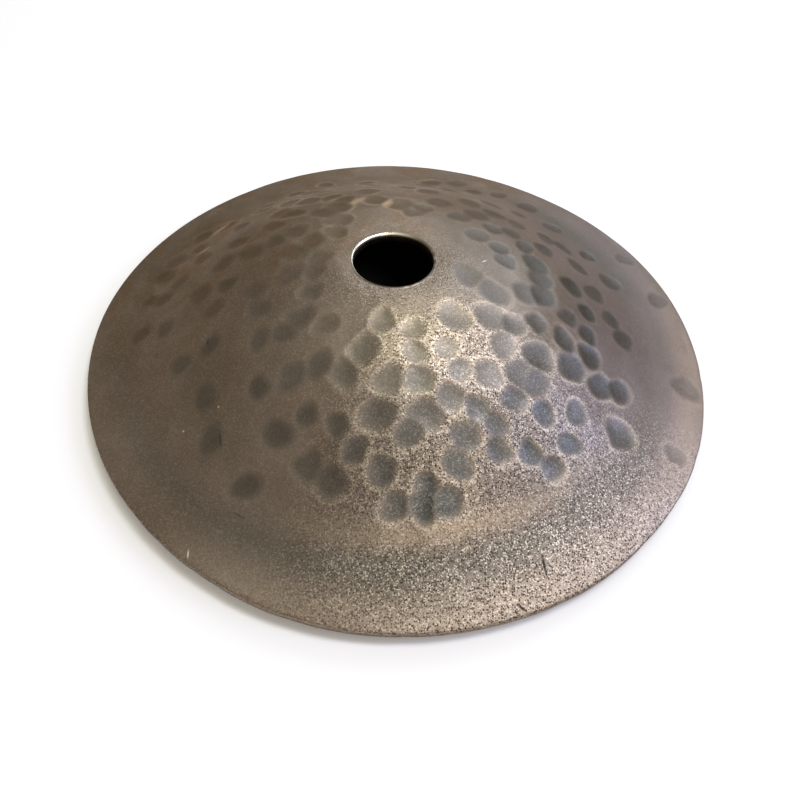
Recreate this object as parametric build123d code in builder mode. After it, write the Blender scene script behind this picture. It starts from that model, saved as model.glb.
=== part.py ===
from build123d import *

import math
import os

# A small hand-hammered bronze gong, a bell disc: one sheet of bronze raised into a shallow dome
# with a flat crown, a straight flank, a concave cove and a flared brim, and one hole through the
# crown for its hanger cord or stand pin.
#
# Millimetres and degrees, +Z up. The origin is the centre of the hole, halfway through the sheet.

# Sheet and hole
SHEET = 1.5
HOLE_DIAMETER = 12.4
HOLE_BREAK = 0.2
RIM_ROUNDING = 0.4

# Meridian of the top face, as stations of (distance from the axis, downward slope). The face runs
# between stations on one tangent arc, or on a straight line where the slope stays the same.
STATIONS = [
    (0.0, 0.0),
    (8.0, 0.0),  # edge of the flat crown
    (9.1, 6.5),  # end of the knuckle
    (31.0, 30.0),  # end of the long shoulder arc
    (37.5, 30.0),  # end of the straight flank
    (44.3, 14.0),  # end of the concave cove
    (55.0, 14.0),  # brim, with stock left for trimming
]

# Rim, trimmed by hand: a circle a little off the dome's axis, out of round by these amounts at
# equal steps of azimuth from +X.
RIM_RADIUS = 51.0
RIM_OFFSET = 1.7
TRIM_ERRORS = [
    0.0, 0.2, 0.25, 0.0, -0.15, 0.0, 0.1, 0.0, -0.1, -0.25, 0.0, 0.25,
    0.4, 0.2, 0.0, -0.15, -0.15, 0.1, 0.1, 0.0, 0.05, -0.1, 0.05, 0.0,
]  # fmt: skip

# Hammer blows, ring by ring: distance from the axis, then the azimuth of each blow.
BLOWS = {
    11.5: [146, 181, 350],
    12.5: [194, 265],
    14.0: [78, 133, 161, 211, 284, 311],
    16.0: [33, 74, 88, 172, 191, 235, 343],
    17.5: [222, 259, 282, 327],
    18.0: [10, 20, 53, 102, 124, 132, 154, 297],
    20.5: [37, 69, 117, 163, 223, 331, 351],
    21.5: [50, 194, 205, 244, 254, 271, 282, 298, 320],
    23.5: [3, 12, 23, 33, 104, 120, 140, 151, 169, 218, 307, 339, 354],
    24.5: [238, 291],
    26.0: [48, 60, 78, 128, 141, 185, 268, 282, 317, 327],
    27.0: [298],
    28.0: [24, 40, 87, 161, 172, 194, 231, 248, 257, 277, 310, 319, 340, 350],
    29.5: [6, 207, 292, 301],
    30.5: [98, 118, 131, 184, 263, 333],
    31.5: [243, 315, 348, 357],
    32.5: [33, 57, 149, 270, 288, 299, 341],
    33.5: [220, 253],
    34.5: [8, 20, 73, 101, 119, 137, 165, 206, 259, 280, 306, 323],
    35.5: [30, 335],
    36.5: [0, 50, 82, 134, 174, 191, 229, 273, 279, 284, 316],
    37.5: [309],
    38.5: [100, 122, 147, 158, 179, 242, 338, 355],
    41.0: [17, 28, 42, 68, 81, 112, 152, 163, 169, 178, 189, 328],
    44.0: [53, 62, 74],
    49.5: [12, 26, 332, 348],
}
HAMMER_RADIUS = 12.0  # crown of the hammer's face
BLOW_DEPTH = 0.2
HEAVY_SIDE = 320.0  # azimuth where the blows are deepest
HEAVY_SHARE = 0.25  # how much deeper than the mean they are there
HAMMER_FACE = 3.5  # radius of the part of that face that meets the metal


def below_top(radius):
    """Drop of the top face below the crown, and its slope, at a distance from the axis."""
    drop = 0.0
    for (start, start_slope), (end, end_slope) in zip(STATIONS, STATIONS[1:]):
        reach = min(radius, end) - start
        first, last = math.radians(start_slope), math.radians(end_slope)
        if first == last:
            slope = first
            drop += reach * math.tan(first)
        else:
            bend = (math.sin(last) - math.sin(first)) / (end - start)
            slope = math.asin(math.sin(first) + reach * bend)
            drop += (math.cos(first) - math.cos(slope)) / bend
        if radius <= end:
            break
    return drop, math.degrees(slope)


def draw_meridian(depth):
    """Draw the section's line at a depth below the top face, and return its two ends."""
    place = Vector(0, SHEET / 2 - depth)
    first_place = place
    for (start, start_slope), (end, end_slope) in zip(STATIONS, STATIONS[1:]):
        first, last = math.radians(start_slope), math.radians(end_slope)
        heading = Vector(math.cos(first), -math.sin(first))
        if first == last:
            run = Line(place, place + heading * ((end - start) / math.cos(first)))
        else:
            radius = (end - start) / (math.sin(last) - math.sin(first)) - depth
            run = JernArc(place, heading, radius=abs(radius), arc_size=start_slope - end_slope)
        place = run @ 1
    return first_place, place


def blow_plane(radius, azimuth):
    """Plane of one hammer blow: its Z leaves the metal, its origin is the hammer crown's centre."""
    drop, slope = below_top(radius)
    around, tilt = math.radians(azimuth), math.radians(slope)
    outward = Vector(math.cos(around), math.sin(around), 0)
    normal = outward * math.sin(tilt) + Vector(0, 0, math.cos(tilt))
    depth = BLOW_DEPTH * (1 + HEAVY_SHARE * math.cos(math.radians(azimuth - HEAVY_SIDE)))
    surface = outward * radius + Vector(0, 0, SHEET / 2 - drop)
    return Plane(origin=surface + normal * (HAMMER_RADIUS - depth), z_dir=normal)


def rim_point(index):
    """Point of the trimmed outline, one of the equal steps round the rim."""
    around = math.radians(index * 360 / len(TRIM_ERRORS))
    radius = RIM_RADIUS + TRIM_ERRORS[index]
    return (RIM_OFFSET + radius * math.cos(around), radius * math.sin(around))


rim_drop, _ = below_top(RIM_RADIUS)
stock_height = 4 * rim_drop

with BuildPart() as gong_disc:
    # The raised sheet
    with BuildSketch(Plane.XZ):
        with BuildLine():
            top_start, top_end = draw_meridian(0)
            under_start, under_end = draw_meridian(SHEET)
            Line(top_start, under_start)
            Line(top_end, under_end)
        make_face()
    revolve(axis=Axis.Z)

    # The rim, trimmed to its outline
    with BuildSketch(Plane.XY.offset(-stock_height / 2)):
        with BuildLine():
            Spline([rim_point(i) for i in range(len(TRIM_ERRORS))], periodic=True)
        make_face()
    extrude(amount=stock_height, mode=Mode.INTERSECT)
    fillet(gong_disc.edges().filter_by(GeomType.BSPLINE), RIM_ROUNDING)

    # The hole through the crown
    Hole(radius=HOLE_DIAMETER / 2)
    hole_edges = gong_disc.edges().filter_by(GeomType.CIRCLE).sort_by(SortBy.RADIUS)[:2]
    chamfer(hole_edges, HOLE_BREAK)

    # The hammer blows
    hammer_rim = -math.degrees(math.acos(HAMMER_FACE / HAMMER_RADIUS))
    with Locations(*[blow_plane(r, azimuth) for r, ring in BLOWS.items() for azimuth in ring]):
        Sphere(HAMMER_RADIUS, arc_size2=hammer_rim, align=None, mode=Mode.SUBTRACT)

gong_disc.part.label = "gong_disc"

os.makedirs("parts", exist_ok=True)
export_step(gong_disc.part, "parts/gong_disc.step")
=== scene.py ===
import math
import random

import bpy
import numpy as np
from mathutils import Matrix, Quaternion, Vector


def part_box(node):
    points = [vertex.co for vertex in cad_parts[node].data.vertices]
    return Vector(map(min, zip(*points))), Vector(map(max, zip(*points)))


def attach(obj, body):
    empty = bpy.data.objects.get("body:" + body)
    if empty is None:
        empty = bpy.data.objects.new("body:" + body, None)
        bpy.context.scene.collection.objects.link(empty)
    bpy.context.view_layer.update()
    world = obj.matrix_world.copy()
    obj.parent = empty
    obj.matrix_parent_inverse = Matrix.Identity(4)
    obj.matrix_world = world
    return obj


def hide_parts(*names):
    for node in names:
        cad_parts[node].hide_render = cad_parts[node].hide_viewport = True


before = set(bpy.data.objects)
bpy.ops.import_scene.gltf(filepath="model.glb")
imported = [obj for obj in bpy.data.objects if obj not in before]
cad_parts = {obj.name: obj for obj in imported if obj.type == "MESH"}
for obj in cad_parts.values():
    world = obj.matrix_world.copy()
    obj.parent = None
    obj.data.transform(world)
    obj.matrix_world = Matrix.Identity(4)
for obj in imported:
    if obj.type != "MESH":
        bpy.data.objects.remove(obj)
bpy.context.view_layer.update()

# A small hand-hammered bronze gong: one raised sheet with a flat crown, a cove, a flared brim and a
# hanger hole. Lengths are in millimetres until MM turns them into the frame's metres, and angles are
# in degrees. The origin is the centre of the hole, halfway through the sheet.
MM = 0.001
SEED = 7

# ---------------------------------------------------------------- the sheet
SHEET = 1.5
HALF = SHEET / 2
HOLE_RADIUS = 6.2
RIM_ROUNDING = 0.4
# Meridian of the top face: distance from the axis, and downward slope
STATIONS = [(0, 0), (8, 0), (9.1, 6.5), (31, 30), (37.5, 30), (44.3, 14), (55, 14)]
RIM_RADIUS = 51.0
RIM_OFFSET = 1.7
TRIM_ERRORS = [
    0.0, 0.2, 0.25, 0.0, -0.15, 0.0, 0.1, 0.0, -0.1, -0.25, 0.0, 0.25,
    0.4, 0.2, 0.0, -0.15, -0.15, 0.1, 0.1, 0.0, 0.05, -0.1, 0.05, 0.0,
]
DRIFT_FROM = 36.0  # the rings start to drift towards the rim's own centre here
FILE_CUTS = 26  # small flats and nicks left on the rim
FILE_CUT_DEPTH = 0.09

# ---------------------------------------------------------------- the hammer blows
BLOWS = {
    11.5: [146, 181, 350],
    12.5: [194, 265],
    14.0: [78, 133, 161, 211, 284, 311],
    16.0: [33, 74, 88, 172, 191, 235, 343],
    17.5: [222, 259, 282, 327],
    18.0: [10, 20, 53, 102, 124, 132, 154, 297],
    20.5: [37, 69, 117, 163, 223, 331, 351],
    21.5: [50, 194, 205, 244, 254, 271, 282, 298, 320],
    23.5: [3, 12, 23, 33, 104, 120, 140, 151, 169, 218, 307, 339, 354],
    24.5: [238, 291],
    26.0: [48, 60, 78, 128, 141, 185, 268, 282, 317, 327],
    27.0: [298],
    28.0: [24, 40, 87, 161, 172, 194, 231, 248, 257, 277, 310, 319, 340, 350],
    29.5: [6, 207, 292, 301],
    30.5: [98, 118, 131, 184, 263, 333],
    31.5: [243, 315, 348, 357],
    32.5: [33, 57, 149, 270, 288, 299, 341],
    33.5: [220, 253],
    34.5: [8, 20, 73, 101, 119, 137, 165, 206, 259, 280, 306, 323],
    35.5: [30, 335],
    36.5: [0, 50, 82, 134, 174, 191, 229, 273, 279, 284, 316],
    37.5: [309],
    38.5: [100, 122, 147, 158, 179, 242, 338, 355],
    41.0: [17, 28, 42, 68, 81, 112, 152, 163, 169, 178, 189, 328],
    44.0: [53, 62, 74],
    49.5: [12, 26, 332, 348],
}
BLOW_RADIUS = 2.3
BLOW_SIZES = (0.83, 1.17)  # smallest and largest mark, as shares of that radius
BLOW_OVALS = (1.0, 1.3)  # length over width
BLOW_TURN = 0.7  # the long way of an oval is within this many radians of the outward direction
BLOW_DEPTH = 0.17
HEAVY_SIDE = 320.0  # azimuth where the blows are deepest and darkest
HEAVY_SHARE = 0.25
TONE_MEAN = 0.78  # how dark a mark is, on average round the disc, and how much that changes
TONE_SWING = 0.22
FAINT_SIDE = 222.0  # azimuth where the marks are faintest and most blurred
FAINT_SHARE = 0.12
DARK_MARKS = (35, 5, 277)  # a darker cluster: its distance from the axis, its width and its azimuth
DARK_SHARE = 0.3
MARK_EDGE = (1.06, 0.72)  # a mark's colour starts and is full here, in mark radii
EDGE_BLUR = (0.1, -0.3)  # and this is added where the marks are most blurred
# Distances from the axis, then how dark a mark is there: marks are paler near the crown and the rim
MARK_FADE = ((14, 24, 31, 40, 48), (0.6, 0.85, 1.0, 0.9, 0.5))
DEPTH_FADE = ((42, 48), (1.0, 0.4))  # and, the same way, how deep: they are shallower on the brim
LIP_SHARE = 0.14  # height of the metal pushed up round a blow, as a share of its depth
LIP_PLACE = 1.1  # where the lip is, and half its width, in mark radii
LIP_WIDTH = 0.13
WOBBLE = {2: 0.09, 3: 0.075, 4: 0.05}  # unevenness of a mark's outline, by its number of lobes
DISH_SOFTNESS = 0.02  # how rounded a dish's edge is
REACH = 5.0  # no mark reaches further than this

# ---------------------------------------------------------------- unevenness, ageing and painted light
PLANISHED = (0.035, 24, 7.0)  # small lumps: their height, number of waves and length
RAISED = (0.06, 12, 26.0)  # large lumps
TOP_BREAK = 0.21  # how far the hole's top edge is rounded, on average round the hole,
TOP_BREAK_SWING = 0.15  # how much more it is at its widest,
TOP_BREAK_SIDE = 118  # and the azimuth where that is
BURR = (107, 0.12, 0.14)  # and it is wider still at a burr: azimuth, size, and width in radians
BARE_AND_GLINT_SIDE = 142  # azimuth where the hole's edge is worn to bare metal, with a painted highlight there

# Where round the disc each kind of ageing, painted shade and painted light shows: the azimuth that
# it centres on, then the cosines of the angles away from there at which it starts and at which it is
# full
SIDES = {
    "front_ridge_highlights": (300, 0.6, 0.95),
    "far_ridge_highlights": (115, 0.7, 0.95),
    "front_cove_shade": (280, 0.0, 0.9),
    "far_cove_shade": (35, 0.8, 0.98),
    "tan": (288, 0.8, 0.99),
    "cream_highlight": (292, 0.74, 0.98),
    "brim": (310, 0.0, 0.8),
    "crown": (290, -0.4, 0.8),
    "speckled_glints": (295, 0.62, 1.02),
    "left": (230, -0.2, 0.8),
    "edge": (250, -0.3, 0.6),
    "lilac": (5, 0.4, 0.95),
    "cool_right": (330, -0.4, 0.6),
    "cool_front": (245, 0.3, 0.9),
}
# Where between the hole and the rim: the middle of a band and its width, for the cove's painted
# shade, the painted tan and cream highlights, and the crown's grain
COVE_SHADE_BAND = (43.8, 2.4)
TAN_HIGHLIGHT_BAND = (39.8, 1.5)
CREAM_HIGHLIGHT_BAND = (15, 8)
CROWN_BAND = (6, 7)
# and where something that goes on to the rim starts and is full: the brim's painted highlight, the
# grain with its painted glints, the edge's grain, and the painted lilac tint of light
BRIM_START = (45.5, 50.5)
SPECKLED_GLINTS_START = (4, 16)
EDGE_START = (48.8, 50.2)
LILAC_LIGHT_START = (26, 34)

# ---------------------------------------------------------------- the mesh
TOP_STEP = 0.33  # distance between rings
UNDER_STEP = 0.8
SEGMENT_SLACK = 1.36  # a ring's segments may be this much longer than the distance between rings
FIRST_COUNT = 90  # segments of the smallest ring
BORE_COUNT = 180
FACE_START = HOLE_RADIUS + 0.5  # the two faces start here, outside the hole's broken edges
UNDER_BREAK = 0.2
ROUND_STEPS = 5
UNDER_SHARE = 0.35  # how much of a mark shows as a bulge on the underside
UNDER_SCALE_AND_SHADE = 0.62  # how much fire scale, with painted shade, is left on the underside,
BORE_SHADE = (11, 8)  # which gets thicker, as painted shade in the hole, between these distances from the axis
RIM_SHADE = (0.5, 0.85)  # and, as painted shade, on the way round the rim's edge, as shares of half a turn

# What the mesh tells the material, point by point and from 0 to 1: the hammer marks, a highlight
# painted on the ridges between them, metal worn bare with a painted highlight, painted shade in the
# greenish cove, a painted highlight on the brim, tan and cream painted highlights, a painted lilac
# tint of cool light, coarse grain with painted glints, the warmer side of the disc, and the dark fire
# scale and painted shade inside
LAYERS = ("mark", "ridge", "bare", "cove", "worn", "tan", "grainy", "lilac", "warm", "inside")


def towards(azimuth, heading, mean, swing):
    """A value that is largest at one azimuth and smallest opposite it. Azimuth in radians."""
    return mean + swing * np.cos(azimuth - math.radians(heading))


def smooth(low, high, value):
    """A soft step from 0 at low to 1 at high."""
    t = np.clip((value - low) / (high - low), 0, 1)
    return t * t * (3 - 2 * t)


def bell(value, middle, width):
    """A bell curve, 1 at the middle."""
    return np.exp(-(((value - middle) / width) ** 2))


def sector(around, heading, low, high):
    """1 towards a heading in degrees, fading to 0 away from it. low and high are cosines."""
    return smooth(low, high, np.cos(around - math.radians(heading)))


def meridian(radius):
    """Drop of the top face below the crown, and its slope in radians, at these distances."""
    radius = np.asarray(radius, float)
    drop = np.zeros_like(radius)
    sine = np.zeros_like(radius)
    for (start, first), (end, last) in zip(STATIONS, STATIONS[1:]):
        first_sine = math.sin(math.radians(first))
        bend = (math.sin(math.radians(last)) - first_sine) / (end - start)
        reach = np.clip(radius, start, end) - start
        here = first_sine + reach * bend
        first_cosine = math.sqrt(1 - first_sine**2)
        if bend:
            drop += (first_cosine - np.sqrt(1 - here**2)) / bend
        else:
            drop += reach * first_sine / first_cosine
        sine = np.where(radius > start, here, sine)
    return drop, np.arcsin(sine)


def under_height(radius):
    """Height of the underside, one sheet's thickness in from the top face along its normal."""
    samples = np.linspace(0, STATIONS[-1][0], 1200)
    drop, slope = meridian(samples)
    return np.interp(radius, samples - SHEET * np.sin(slope), HALF - drop - SHEET * np.cos(slope))


def trim_error(around):
    """How far the trimmed rim is out of round at these azimuths, smooth between the steps."""
    place = (around / (2 * math.pi) * len(TRIM_ERRORS)) % len(TRIM_ERRORS)
    index = np.floor(place).astype(int)
    t = place - index
    a, b, c, d = (np.take(TRIM_ERRORS, index + k, mode="wrap") for k in (-1, 0, 1, 2))
    return b + t / 2 * (c - a + t * (2 * a - 5 * b + 4 * c - d + t * (3 * (b - c) + d - a)))


def waves(x, y, count, length, rng):
    """Even, seeded lumpiness with features about this long, between about -1 and 1."""
    total = np.zeros_like(x)
    for _ in range(count):
        turn = rng.uniform(0, 2 * math.pi)
        pitch = 2 * math.pi / (length * rng.uniform(0.7, 1.5))
        phase = rng.uniform(0, 2 * math.pi)
        total += np.sin(pitch * (x * math.cos(turn) + y * math.sin(turn)) + phase)
    return total / math.sqrt(count)


def wrapped(angle):
    """The same angle, between minus and plus half a turn."""
    return (angle + math.pi) % (2 * math.pi) - math.pi


class Blow:
    """One hammer mark: an uneven oval dish with a low lip of pushed-up metal."""

    def __init__(self, radius, azimuth, rng):
        self.radius = radius
        self.azimuth = math.radians(azimuth)
        self.x = radius * math.cos(self.azimuth)
        self.y = radius * math.sin(self.azimuth)
        self.slope = float(meridian(radius)[1])
        size = BLOW_RADIUS * rng.uniform(*BLOW_SIZES)
        oval = rng.uniform(*BLOW_OVALS)
        self.along = size * math.sqrt(oval)
        self.across = size / math.sqrt(oval)
        self.turn = rng.uniform(-BLOW_TURN, BLOW_TURN)
        self.depth = BLOW_DEPTH * float(towards(self.azimuth, HEAVY_SIDE, 1, HEAVY_SHARE))
        self.depth *= rng.uniform(0.8, 1.2) * float(np.interp(radius, *DEPTH_FADE))
        self.tone = float(towards(self.azimuth, HEAVY_SIDE, TONE_MEAN, TONE_SWING))
        self.tone *= rng.uniform(0.85, 1.1) * float(np.interp(radius, *MARK_FADE))
        dark_radius, dark_width, dark_side = DARK_MARKS
        dark = bell(radius, dark_radius, dark_width) * sector(self.azimuth, dark_side, 0.95, 1.0)
        faint = sector(self.azimuth, FAINT_SIDE, 0.5, 0.95)
        self.tone *= float(1 - FAINT_SHARE * faint + DARK_SHARE * dark)
        self.blur = float(towards(self.azimuth, FAINT_SIDE, 0.5, 0.5))
        self.lobes = {}
        for lobes, share in WOBBLE.items():
            self.lobes[lobes] = (share * rng.uniform(0.3, 1.0), rng.uniform(0, 6.3))

    def distance(self, radius, around):
        """Distance from the mark's middle, 1 at its edge."""
        u = (radius - self.radius) / math.cos(self.slope)
        v = wrapped(around - self.azimuth) * self.radius
        along = u * math.cos(self.turn) + v * math.sin(self.turn)
        across = v * math.cos(self.turn) - u * math.sin(self.turn)
        bearing = np.arctan2(across, along)
        edge = 1 + sum(size * np.cos(k * bearing + phase) for k, (size, phase) in self.lobes.items())
        return np.hypot(along / self.along, across / self.across) / edge


def hammered(x, y, blows):
    """Depth of the blows at these points, how far each point is into a mark, and onto a lip, where a
    highlight is painted.
    """
    radius, around = np.hypot(x, y), np.arctan2(y, x)
    depth, lip, mark, ridge = (np.zeros_like(x) for _ in range(4))
    for blow in blows:
        near = np.flatnonzero(np.hypot(x - blow.x, y - blow.y) < REACH)
        q = blow.distance(radius[near], around[near])
        dish = 1 - q**2
        dish = (dish + np.sqrt(dish**2 + DISH_SOFTNESS)) / 2
        rim = bell(q, LIP_PLACE, LIP_WIDTH)
        depth[near] = np.maximum(depth[near], blow.depth * dish)
        lip[near] = np.maximum(lip[near], blow.depth * LIP_SHARE * rim)
        start, full = (edge + blow.blur * more for edge, more in zip(MARK_EDGE, EDGE_BLUR))
        mark[near] = np.maximum(mark[near], blow.tone * smooth(start, full, q))
        ridge[near] = np.maximum(ridge[near], rim * blow.tone)
    return depth - lip * smooth(0.06, 0.0, depth), mark, ridge * smooth(0.5, 0.0, mark)


class Surface:
    """Everything uneven about the sheet, drawn once so that both faces agree."""

    def __init__(self, rng):
        self.blows = [Blow(r, azimuth, rng) for r, ring in BLOWS.items() for azimuth in ring]
        self.cuts = []
        for _ in range(FILE_CUTS):
            place, width = rng.uniform(0, 2 * math.pi), rng.uniform(0.02, 0.05)
            self.cuts.append((place, width, FILE_CUT_DEPTH * rng.uniform(0.5, 1.0)))
        self.wave_seed = rng.random()

    def outline(self, around):
        """How far the rim stands out from its circle: the trimming errors, less the file's cuts."""
        cut = np.zeros_like(around)
        for place, width, deep in self.cuts:
            cut = np.maximum(cut, deep * bell(wrapped(around - place), 0, width))
        return trim_error(around) - cut

    def lumps(self, x, y):
        """The unevenness left by raising and planishing, none of it on the crown's flat ring."""
        rng = random.Random(self.wave_seed)
        radius = np.hypot(x, y)
        height, count, length = PLANISHED
        planished = height * smooth(7, 14, radius) * (1 - 0.75 * smooth(38, 46, radius))
        total = planished * waves(x, y, count, length, rng)
        height, count, length = RAISED
        return total + height * smooth(8, 20, radius) * waves(x, y, count, length, rng)

    def ring(self, nominal, count):
        """A ring seen from above: round the hole's axis inside, and along the trimmed rim outside."""
        around = np.arange(count) / count * 2 * math.pi
        drift = float(smooth(DRIFT_FROM, RIM_RADIUS, np.array(nominal)))
        radius = nominal + drift * self.outline(around)
        return RIM_OFFSET * drift + radius * np.cos(around), radius * np.sin(around), around


class Rings:
    """Closed rings of points joined by faces, from which the disc's mesh is made. A ring has as
    many points as the one before, twice as many or half as many."""

    def __init__(self):
        self.points = []
        self.layers = {name: [] for name in LAYERS}
        self.faces = []
        self.spans = []
        self.total = 0

    def add(self, x, y, z, **layers):
        """Add a ring, and return its number."""
        points = np.stack(np.broadcast_arrays(x, y, z), 1)
        self.spans.append((self.total, len(points)))
        self.points.append(points)
        for name, kept in self.layers.items():
            kept.append(np.broadcast_to(layers.get(name, 0.0), len(points)))
        self.total += len(points)
        return len(self.spans) - 1

    def join(self, first, second, flip=False):
        """Make the faces between two rings."""
        (a, n), (b, m) = self.spans[first], self.spans[second]
        if n > m:
            a, n, b, m, flip = b, m, a, n, not flip
        k = np.arange(n)
        inner, inner_next = a + k, a + (k + 1) % n
        if n == m:
            blocks = [np.stack([inner, b + k, b + (k + 1) % n, inner_next], 1)]
        else:
            outer, middle, outer_next = b + 2 * k, b + 2 * k + 1, b + (2 * k + 2) % m
            blocks = [
                np.stack([inner, outer, middle], 1),
                np.stack([inner, middle, inner_next], 1),
                np.stack([inner_next, middle, outer_next], 1),
            ]
        for block in blocks:
            self.faces += (block[:, ::-1] if flip else block).tolist()

    def join_all(self, numbers, flip=False):
        for first, second in zip(numbers, numbers[1:]):
            self.join(first, second, flip)

    def mesh(self, name):
        data = bpy.data.meshes.new(name)
        data.from_pydata((np.concatenate(self.points) * MM).tolist(), [], self.faces)
        for layer, kept in self.layers.items():
            attribute = data.attributes.new(layer, "FLOAT", "POINT")
            attribute.data.foreach_set("value", np.concatenate(kept).astype(np.float32))
        data.polygons.foreach_set("use_smooth", [True] * len(data.polygons))
        data.validate()
        data.update()
        return data


def add_bore(rings):
    """The hole's wall with its two broken edges, from the underside up."""
    around = np.arange(BORE_COUNT) / BORE_COUNT * 2 * math.pi
    top_break = towards(around, TOP_BREAK_SIDE, TOP_BREAK, TOP_BREAK_SWING)
    top_break += 0.04 * np.sin(5 * around + 1)
    burr_side, burr_size, burr_width = BURR
    top_break += burr_size * bell(wrapped(around - math.radians(burr_side)), 0, burr_width)
    # Bare metal with a painted highlight on the far side of the hole's top edge, and a painted shine
    # on the burrs
    bare = sector(around, BARE_AND_GLINT_SIDE, -0.1, 0.8)
    burrs = np.maximum(np.sin(9 * around + 0.5) * np.sin(14 * around), 0) ** 2
    shine = np.maximum(0.03 + 0.97 * bare, 0.6 * burrs)
    turns = np.linspace(0, math.pi / 2, ROUND_STEPS)
    made = []

    def add(radius, height, **layers):
        made.append(rings.add(radius * np.cos(around), radius * np.sin(around), height, **layers))

    # The underside's broken edge and the wall of the hole get full fire scale and painted shade
    for turn in turns:
        radius = HOLE_RADIUS + UNDER_BREAK * (1 - math.sin(turn))
        add(radius, -HALF + UNDER_BREAK * (1 - math.cos(turn)), inside=1.0)
    wall_start = -HALF + UNDER_BREAK
    for share in (0.3, 0.5, 0.7):
        add(HOLE_RADIUS, wall_start + share * (HALF - top_break - wall_start), inside=1.0)
    for turn in turns[::-1]:
        radius = HOLE_RADIUS + top_break * (1 - math.sin(turn))
        add(radius, HALF - top_break * (1 - math.cos(turn)), bare=shine)
    rings.join_all(made, flip=True)
    return made


def ridge_highlight_share(around):
    """How strongly a highlight is painted on the ridges between marks: most at the front right and on
    the far side.
    """
    front = sector(around, *SIDES["front_ridge_highlights"])
    return np.maximum(0.05 + 0.95 * front, sector(around, *SIDES["far_ridge_highlights"]))


def patina_and_painted_light(radius, around):
    """How the bronze has aged from place to place on the hammered face, and where shade and
    highlights are painted on it.
    """
    side = {name: sector(around, *place) for name, place in SIDES.items()}
    # Painted shade in the cove, strongest at the front
    cove = np.maximum(0.3 + 0.7 * side["front_cove_shade"], 0.9 * side["far_cove_shade"])
    # Painted highlights: a tan band on the lit facet above the cove at the front, and a cream patch
    # in the lit streak near the crown
    tan_highlight_patch = bell(radius, *TAN_HIGHLIGHT_BAND) * side["tan"]
    cream_highlight = 0.8 * bell(radius, *CREAM_HIGHLIGHT_BAND) * side["cream_highlight"]
    crown = bell(radius, *CROWN_BAND) * (0.25 + 0.45 * side["crown"])
    # Grain everywhere, with painted glints strongest in the lit streak at the front right
    speckled_glints = smooth(*SPECKLED_GLINTS_START, radius) * side["speckled_glints"]
    edge = 0.4 * smooth(*EDGE_START, radius) * side["edge"]
    everywhere = 0.06 + 0.08 * side["left"]
    grainy = np.maximum(np.maximum(speckled_glints, everywhere), np.maximum(crown, edge))
    return {
        "cove": bell(radius, *COVE_SHADE_BAND) * cove,
        # a painted highlight on the brim, towards the front right
        "worn": smooth(*BRIM_START, radius) * side["brim"],
        "tan": np.maximum(tan_highlight_patch, cream_highlight),
        "grainy": grainy * (1 - 0.4 * tan_highlight_patch),
        # a painted lilac tint of the cool light on the right side
        "lilac": smooth(*LILAC_LIGHT_START, radius) * side["lilac"],
        "warm": 1 - np.maximum(side["cool_right"], 0.8 * side["cool_front"]),
    }


def add_face(rings, surface, top):
    """The rings of one face, from the hole's edge to where the rim's rounding starts."""
    step = TOP_STEP if top else UNDER_STEP
    lean = RIM_ROUNDING * math.sin(math.radians(STATIONS[-1][1]))
    end = RIM_RADIUS - RIM_ROUNDING + (lean if top else -lean)
    count = FIRST_COUNT
    made = []
    for nominal in np.linspace(FACE_START, end, int(round((end - FACE_START) / step)) + 1):
        while 2 * math.pi * nominal / count > step * SEGMENT_SLACK:
            count *= 2
        x, y, _ = surface.ring(nominal, count)
        radius, around = np.hypot(x, y), np.arctan2(y, x)
        drop, slope = meridian(radius)
        depth, mark, ridge = hammered(x, y, surface.blows)
        lumps = surface.lumps(x, y) * (1 - float(smooth(end - 1.5, end, np.array(nominal))))
        if top:
            lift = lumps - depth
            out = 1 + np.sin(slope) * lift / radius
            # A highlight is painted on the ridges between marks, most where the light falls
            looks = {"mark": mark, "ridge": ridge * ridge_highlight_share(around)}
            looks |= patina_and_painted_light(radius, around)
            height = np.minimum(HALF - drop + np.cos(slope) * lift, HALF)
            made.append(rings.add(x * out, y * out, height, **looks))
        else:
            lift = lumps - UNDER_SHARE * np.maximum(depth, 0)
            height = under_height(radius) + lift / np.cos(slope)
            # Fire scale and painted shade under the dome, darkest at the hole, and a little of the
            # ridges' painted highlight on the backs of the marks
            scale = UNDER_SCALE_AND_SHADE + (1 - UNDER_SCALE_AND_SHADE) * smooth(*BORE_SHADE, radius)
            made.append(rings.add(x, y, height, warm=1.0, ridge=0.3 * mark, inside=scale))
    rings.join_all(made, flip=not top)
    return made


def add_rim(rings, surface, count):
    """The rounded edge of the sheet, from the top face over to the underside."""
    _, _, around = surface.ring(RIM_RADIUS, count)
    middle = RIM_RADIUS + surface.outline(around) - RIM_ROUNDING
    lean = math.radians(STATIONS[-1][1])
    drop, _ = meridian(np.hypot(RIM_OFFSET + middle * np.cos(around), middle * np.sin(around)))
    top_centre = HALF - drop - RIM_ROUNDING / math.cos(lean)
    under_centre = HALF - drop - (SHEET - RIM_ROUNDING) / math.cos(lean)
    quarter = math.pi / 2
    made = []
    looks = patina_and_painted_light(RIM_RADIUS, around)
    for centre, turns in (
        (top_centre, np.linspace(lean, quarter, ROUND_STEPS)[1:]),
        (under_centre, np.linspace(quarter, math.pi + lean, ROUND_STEPS)[:-1]),
    ):
        for turn in turns:
            radius = middle + RIM_ROUNDING * math.sin(turn)
            x, y = RIM_OFFSET + radius * np.cos(around), radius * np.sin(around)
            # painted shade on the lower half of the rim's edge
            looks["inside"] = smooth(*RIM_SHADE, np.array(turn / math.pi))
            made.append(rings.add(x, y, centre + RIM_ROUNDING * math.cos(turn), **looks))
    rings.join_all(made)
    return made


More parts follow.
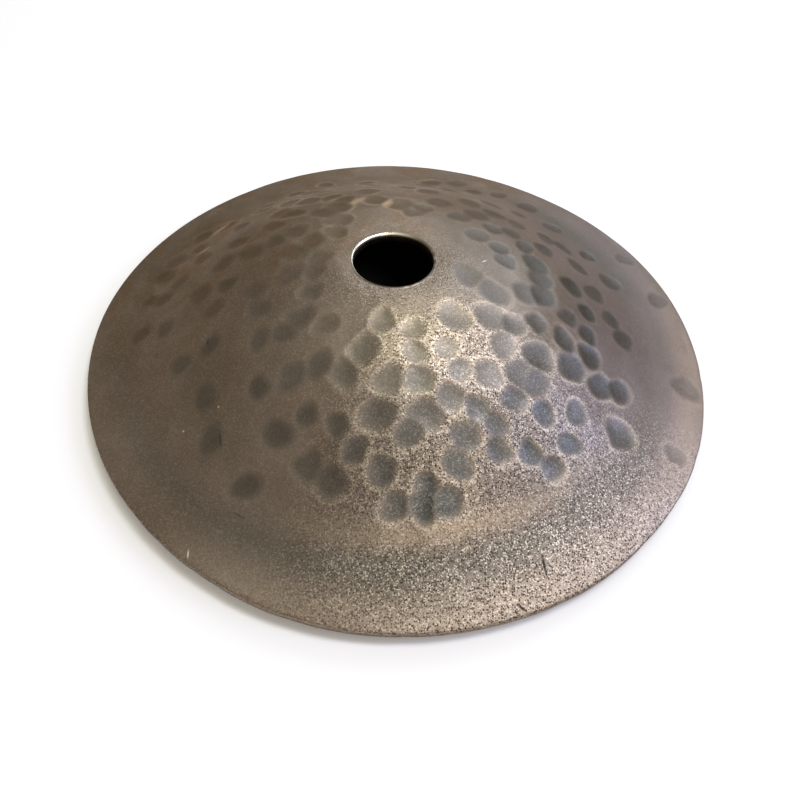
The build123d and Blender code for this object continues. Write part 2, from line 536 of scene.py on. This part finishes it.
def make_disc():
    surface = Surface(random.Random(SEED))
    rings = Rings()
    bore = add_bore(rings)
    top = add_face(rings, surface, top=True)
    under = add_face(rings, surface, top=False)
    rim = add_rim(rings, surface, rings.spans[top[-1]][1])
    rings.join(bore[-1], top[0])
    rings.join(bore[0], under[0], flip=True)
    rings.join(top[-1], rim[0])
    rings.join(rim[-1], under[-1])
    return rings.mesh("hammered_disc")


disc = bpy.data.objects.new("hammered_disc", make_disc())
bpy.context.collection.objects.link(disc)


# ---------------------------------------------------------------- the metal
def new_material(name):
    material = bpy.data.materials.new(name)
    material.use_nodes = True
    return material, material.node_tree.nodes, material.node_tree.links


class Nodes:
    """Short names for the shader nodes that the metal uses."""

    def __init__(self, nodes, links):
        self.nodes = nodes
        self.links = links
        self.place = nodes.new("ShaderNodeTexCoord").outputs["Object"]

    def feed(self, value, socket):
        """Link a value into a socket, or set it there if it is a number or a colour."""
        if isinstance(value, tuple):
            socket.default_value = (*value, 1)
        elif isinstance(value, (int, float)):
            socket.default_value = value
        else:
            self.links.new(value, socket)

    def noise(self, scale, detail=2.0, roughness=0.5):
        made = self.nodes.new("ShaderNodeTexNoise")
        self.links.new(self.place, made.inputs["Vector"])
        self.feed(scale, made.inputs["Scale"])
        self.feed(detail, made.inputs["Detail"])
        self.feed(roughness, made.inputs["Roughness"])
        return made.outputs["Fac"]

    def specks(self, kinds):
        """Dots of these kinds scattered at random, 1 inside each and 0 between them."""
        total = 0.0
        for kind in kinds:
            total = self.calc("MAXIMUM", total, self.specks_of(*kind))
        return total

    def specks_of(self, scale, share, size):
        """Dots of one kind, one in this share of the noise's cells."""
        made = self.nodes.new("ShaderNodeTexVoronoi")
        self.links.new(self.place, made.inputs["Vector"])
        self.feed(scale, made.inputs["Scale"])
        split = self.nodes.new("ShaderNodeSeparateColor")
        self.links.new(made.outputs["Color"], split.inputs["Color"])
        chosen = self.spread(split.outputs["Red"], 1 - share, 1 - 0.8 * share)
        return self.calc("MULTIPLY", chosen, self.spread(made.outputs["Distance"], size, 0.5 * size))

    def streaks(self, places):
        """Thin streaks that lie on the top face: their strength inside, and 0 outside."""
        total = 0.0
        for radius, azimuth, length, width, turn, strength in places:
            a = math.radians(azimuth)
            height = HALF - float(meridian(radius)[0])
            made = self.nodes.new("ShaderNodeMapping")
            made.vector_type = "TEXTURE"
            self.links.new(self.place, made.inputs["Vector"])
            place = (radius * math.cos(a) * MM, radius * math.sin(a) * MM, height * MM)
            made.inputs["Location"].default_value = place
            made.inputs["Rotation"].default_value = (0, 0, a + math.radians(turn))
            made.inputs["Scale"].default_value = (length / 2 * MM, width / 2 * MM, SHEET * MM)
            away = self.nodes.new("ShaderNodeVectorMath")
            away.operation = "LENGTH"
            self.links.new(made.outputs["Vector"], away.inputs[0])
            streak = self.spread(away.outputs["Value"], 1.0, 0.3, 0.0, strength)
            total = self.calc("MAXIMUM", total, streak)
        return total

    def spread(self, value, low, high, out_low=0.0, out_high=1.0):
        """The value's range from low to high, stretched to the other range and cut off there."""
        made = self.nodes.new("ShaderNodeMapRange")
        sockets = ("Value", "From Min", "From Max", "To Min", "To Max")
        for name, number in zip(sockets, (value, low, high, out_low, out_high)):
            self.feed(number, made.inputs[name])
        return made.outputs["Result"]

    def blend(self, share, low, high):
        """A colour between two, or between a colour and a link."""
        made = self.nodes.new("ShaderNodeMix")
        made.data_type = "RGBA"
        for name, value in (("Factor_Float", share), ("A_Color", low), ("B_Color", high)):
            self.feed(value, next(s for s in made.inputs if s.identifier == name))
        return next(s for s in made.outputs if s.identifier == "Result_Color")

    def calc(self, operation, first, second):
        made = self.nodes.new("ShaderNodeMath")
        made.operation = operation
        self.feed(first, made.inputs[0])
        self.feed(second, made.inputs[1])
        return made.outputs[0]

    def layer(self, name):
        made = self.nodes.new("ShaderNodeAttribute")
        made.attribute_name = name
        return made.outputs["Fac"]

    def bump(self, height, strength, distance):
        made = self.nodes.new("ShaderNodeBump")
        self.feed(height, made.inputs["Height"])
        self.feed(strength, made.inputs["Strength"])
        self.feed(distance, made.inputs["Distance"])
        return made.outputs["Normal"]


# Scratches, painted glints on ridges, and nicks: distance from the axis, azimuth, length, width, turn
# from the outward direction, and strength
DARK_SCRATCHES = [
    (47.0, 297.5, 3.4, 0.6, -17, 1.0),
    (46.7, 296.3, 1.6, 0.35, -15, 0.8),
    (50.7, 291.5, 1.9, 0.50, 36, 1.0),
    (51.0, 290.5, 0.6, 0.50, 0, 0.9),
    (49.2, 304.3, 0.5, 0.45, 0, 0.9),
    (41.8, 243.7, 2.4, 0.35, 90, 0.45),
    (35.7, 231.0, 2.8, 0.50, 52, 0.5),
    (29.8, 205.5, 1.8, 0.40, 70, 0.5),
    (43.5, 287.0, 4.0, 0.25, 75, 0.5),
]
RIDGE_GLINTS = [
    (39.5, 148, 8.0, 1.8, -87, 0.32),
    (36.5, 160, 4.5, 1.6, 43, 0.28),
    (18.5, 112, 5.0, 2.2, -47, 0.28),
    (16.0, 96, 4.5, 2.2, -20, 0.28),
    (22.5, 120, 4.0, 1.6, -73, 0.22),
    (36.5, 134, 4.0, 1.5, 44, 0.2),
]
BRIGHT_NICKS = [
    (48.9, 240.0, 1.5, 0.30, 35, 0.8),
    (14.2, 6.5, 1.2, 0.25, 30, 0.6),
    (33.0, 225.0, 0.4, 0.35, 0, 0.6),
    (38.3, 222.0, 0.4, 0.35, 0, 0.6),
]

# Noises, in features per metre
CLOUD_SCALE = 70
BLOTCH_SCALE = 130
TARNISH_SCALE = 170
PATCH_SCALE = 240
GRAIN_SCALE = 3000
GRAIN_HEIGHT = 0.00005  # in metres, as the shader wants it
# Specks of bright metal painted as glints, and dark pits: cells per metre, the share of cells that
# have one, its size
GLINT_FLECKS = ((3900, 0.20, 0.6), (5300, 0.22, 0.7))
PITS = ((3500, 0.32, 0.65), (5200, 0.34, 0.7))

FIELD_DARK = (0.170, 0.138, 0.110)
FIELD_LIGHT = (0.238, 0.199, 0.165)
STAIN = (0.150, 0.123, 0.10)
BROWN = (0.175, 0.118, 0.078)
OLIVE = (0.135, 0.122, 0.084)
LILAC_LIGHT_TINT = (0.190, 0.160, 0.158)
COVE_SHADE_GREEN = (0.105, 0.100, 0.082)
BRIM_HIGHLIGHT_TINT = (0.40, 0.32, 0.25)
TAN_HIGHLIGHT_TINT = (0.37, 0.29, 0.195)
RIDGE_HIGHLIGHT_TINT = (0.50, 0.43, 0.335)
MARK_DARK = (0.068, 0.070, 0.065)
MARK_LIGHT = (0.098, 0.099, 0.091)
MARK_BROWN = (0.078, 0.063, 0.047)
PIT = (0.025, 0.02, 0.016)
FLECK_GLINT = (0.62, 0.56, 0.46)
GLINT_GOLD = (0.80, 0.60, 0.38)
BARE_METAL_AND_GLINT = (0.92, 0.88, 0.76)
SCALE_AND_SHADE_DARK = (0.010, 0.008, 0.007)
SCALE_AND_SHADE_LIGHT = (0.036, 0.027, 0.020)
EDGE_TINT = (0.62, 0.54, 0.48, 1)  # the metal's reflection at a grazing angle


def bronze():
    """Hammered bronze, brown-grey with age, with painted shade and painted highlights. Its places
    come from the mesh's layers.
    """
    material, nodes, links = new_material("hammered_bronze")
    n = Nodes(nodes, links)
    shader = nodes["Principled BSDF"]
    shader.inputs["Metallic"].default_value = 1.0
    shader.inputs["Specular Tint"].default_value = EDGE_TINT
    layers = [n.layer(name) for name in LAYERS]
    mark, ridge, bare, cove, worn, tan, grainy, lilac, warm, inside = layers
    cloud = n.spread(n.noise(CLOUD_SCALE, 4, 0.6), 0.35, 0.65)
    patch = n.spread(n.noise(PATCH_SCALE, 3, 0.6), 0.35, 0.65)
    blotch = n.spread(n.noise(BLOTCH_SCALE, 4, 0.65), 0.46, 0.62)
    tarnish = n.spread(n.noise(TARNISH_SCALE, 4, 0.7), 0.5, 0.68)
    grain = n.noise(GRAIN_SCALE, 3, 0.6)
    grain_and_glints_here = n.calc("MULTIPLY", grainy, n.spread(mark, 0.0, 0.5, 1.0, 0.2))

    # The oxidised metal between the marks, with painted shade in the cove, painted highlights on the
    # brim, the tan and cream patches and the ridges, and a painted lilac tint of light
    colour = n.blend(cloud, FIELD_DARK, FIELD_LIGHT)
    for share, strength, tint in (
        (patch, 0.4, STAIN),
        (n.calc("MULTIPLY", blotch, warm), 0.75, BROWN),
        (n.calc("MULTIPLY", tarnish, warm), 0.6, OLIVE),
        # a painted lilac tint of the cool light on the right
        (lilac, 0.6, LILAC_LIGHT_TINT),
        # painted shade in the cove, greenish
        (cove, 0.6, COVE_SHADE_GREEN),
        # a painted highlight on the brim
        (worn, 0.5, BRIM_HIGHLIGHT_TINT),
        # painted tan and cream highlights
        (tan, 0.4, TAN_HIGHLIGHT_TINT),
        # a painted highlight on the ridges between marks
        (ridge, n.spread(patch, 0.1, 0.8, 0.1, 0.75), RIDGE_HIGHLIGHT_TINT),
    ):
        colour = n.blend(n.calc("MULTIPLY", share, strength), colour, tint)

    # The marks, which are greyer, and browner on the warm side
    grey_mark = n.blend(patch, MARK_DARK, MARK_LIGHT)
    colour = n.blend(n.calc("MULTIPLY", mark, 0.9), colour, n.blend(warm, grey_mark, MARK_BROWN))

    # Bright grains painted as glints and dark pits, then glints painted on ridges, scratches, and
    # bare metal with its painted highlight, then the scale and painted shade inside
    # Bright flecks painted as glints, most where the grain and the highlight are
    glint_flecked = n.spread(grain_and_glints_here, 0.0, 1.0, 0.03, 0.7)
    colour = n.blend(n.calc("MULTIPLY", n.specks(GLINT_FLECKS), glint_flecked), colour, FLECK_GLINT)
    pitted = n.spread(grain_and_glints_here, 0.0, 1.0, 0.04, 0.95)
    pitted = n.calc("MAXIMUM", pitted, n.calc("MULTIPLY", mark, 0.3))
    colour = n.blend(n.calc("MULTIPLY", n.specks(PITS), pitted), colour, PIT)
    # golden glints painted on ridges on the far side
    colour = n.blend(n.streaks(RIDGE_GLINTS), colour, GLINT_GOLD)
    colour = n.blend(n.streaks(DARK_SCRATCHES), colour, PIT)
    # bare metal and nicks, with a painted highlight on the hole's far edge
    colour = n.blend(n.calc("MAXIMUM", bare, n.streaks(BRIGHT_NICKS)), colour, BARE_METAL_AND_GLINT)
    # fire scale and painted shade inside and under the rim
    colour = n.blend(inside, colour, n.blend(patch, SCALE_AND_SHADE_DARK, SCALE_AND_SHADE_LIGHT))
    n.feed(colour, shader.inputs["Base Color"])

    # Smoother on bright grains, in the marks and on bare metal with its painted highlight, rougher on
    # stains, and on fire scale with its painted shade
    rough = n.spread(grain, 0.3, 0.7, 0.52, 0.38)
    for share, more in ((patch, 0.05), (mark, -0.05), (bare, -0.2), (inside, 0.25)):
        rough = n.calc("ADD", rough, n.calc("MULTIPLY", share, more))
    n.feed(rough, shader.inputs["Roughness"])
    relief = n.bump(grain, n.spread(grain_and_glints_here, 0.0, 1.0, 0.15, 0.6), GRAIN_HEIGHT)
    n.feed(relief, shader.inputs["Normal"])
    return material


disc.data.materials.append(bronze())
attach(disc, "root")
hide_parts("gong_disc")

# ---------------------------------------------------------------- the floor and a card of painted shadow
def add_sheet(name, half_size, height, colour):
    """A flat square of paper or card under the gong: the floor, or a black card of painted shadow."""
    h = half_size
    data = bpy.data.meshes.new(name)
    corners = [(-h, -h, height), (h, -h, height), (h, h, height), (-h, h, height)]
    data.from_pydata(corners, [], [(0, 1, 2, 3)])
    sheet = bpy.data.objects.new(name, data)
    bpy.context.collection.objects.link(sheet)
    material, nodes, _ = new_material(name)
    nodes["Principled BSDF"].inputs["Base Color"].default_value = (*colour, 1)
    nodes["Principled BSDF"].inputs["Roughness"].default_value = 0.9
    data.materials.append(material)


# The floor, half a millimetre below the rim, and a black card hidden under the dome, a painted
# shadow that keeps the inside dark behind the hole. These are in metres, as the frame is.
floor_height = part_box("gong_disc")[0].z - 0.0005
add_sheet("floor", 1.5, floor_height, (0.76, 0.77, 0.78))
add_sheet("shadow_card", 0.03, floor_height + 0.0002, (0.01, 0.01, 0.01))

# ---------------------------------------------------------------- camera and light
CAMERA_DISTANCE = 2.0515 * RIM_RADIUS  # from the middle of the rim
CAMERA_ELEVATION = 45.97
CAMERA_PAN = -0.22
CAMERA_TILT = -6.62
CAMERA_ROLL = -2.81
CAMERA_LENS = 27.0


def add_camera():
    """A close camera in front, aimed at the middle of the rim and then turned a little."""
    elevation = math.radians(CAMERA_ELEVATION)
    away = Vector((0, -math.cos(elevation), math.sin(elevation)))
    forward, right = -away, Vector((1, 0, 0))
    up = right.cross(forward)
    pan = Quaternion(up, math.radians(CAMERA_PAN))
    forward, right = pan @ forward, pan @ right
    tilt = Quaternion(right, math.radians(CAMERA_TILT))
    forward, up = tilt @ forward, tilt @ up
    roll = Quaternion(forward, math.radians(CAMERA_ROLL))
    right, up = roll @ right, roll @ up
    data = bpy.data.cameras.new("camera")
    data.lens = CAMERA_LENS
    data.sensor_width = 36.0
    data.clip_start = 0.005
    camera = bpy.data.objects.new("camera", data)
    bpy.context.collection.objects.link(camera)
    rim_middle = Vector((RIM_OFFSET, 0, HALF - float(meridian(RIM_RADIUS)[0])))
    camera.location = (rim_middle + away * CAMERA_DISTANCE) * MM
    camera.rotation_euler = Matrix((right, up, -forward)).transposed().to_euler()
    bpy.context.scene.camera = camera


def add_light(name, azimuth, elevation, distance, size, power, colour):
    """A square soft light that faces the gong from this direction."""
    data = bpy.data.lights.new(name, "AREA")
    data.size = size
    data.energy = power
    data.color = colour
    light = bpy.data.objects.new(name, data)
    bpy.context.collection.objects.link(light)
    a, e = math.radians(azimuth), math.radians(elevation)
    way = Vector((math.cos(a) * math.cos(e), math.sin(a) * math.cos(e), math.sin(e)))
    light.location = way * distance
    light.rotation_euler = way.to_track_quat("Z", "Y").to_euler()


def add_world(colour, strength):
    world = bpy.data.worlds.new("studio")
    world.use_nodes = True
    background = world.node_tree.nodes["Background"]
    background.inputs["Color"].default_value = (*colour, 1)
    background.inputs["Strength"].default_value = strength
    bpy.context.scene.world = world


add_camera()
# Name, azimuth, elevation, distance and size in metres, power in watts, and colour
add_light("key", 25, 62, 1.0, 0.25, 4.5, (0.82, 0.83, 1.0))
add_light("window_right", 0, 30, 1.0, 0.35, 3.1, (0.57, 0.65, 1.0))
add_light("far_right", 60, 30, 1.0, 0.35, 1.7, (0.60, 0.76, 1.0))
add_light("far", 90, 30, 1.0, 0.35, 1.4, (0.88, 0.94, 1.0))
add_light("overhead", 60, 74, 1.0, 0.3, 2.3, (0.97, 1.0, 0.78))
add_light("front_right", 305, 50, 1.0, 0.3, 2.1, (1.0, 0.94, 0.92))
add_world((1.0, 0.895, 0.73), 0.525)
bpy.context.scene.view_settings.view_transform = "Standard"
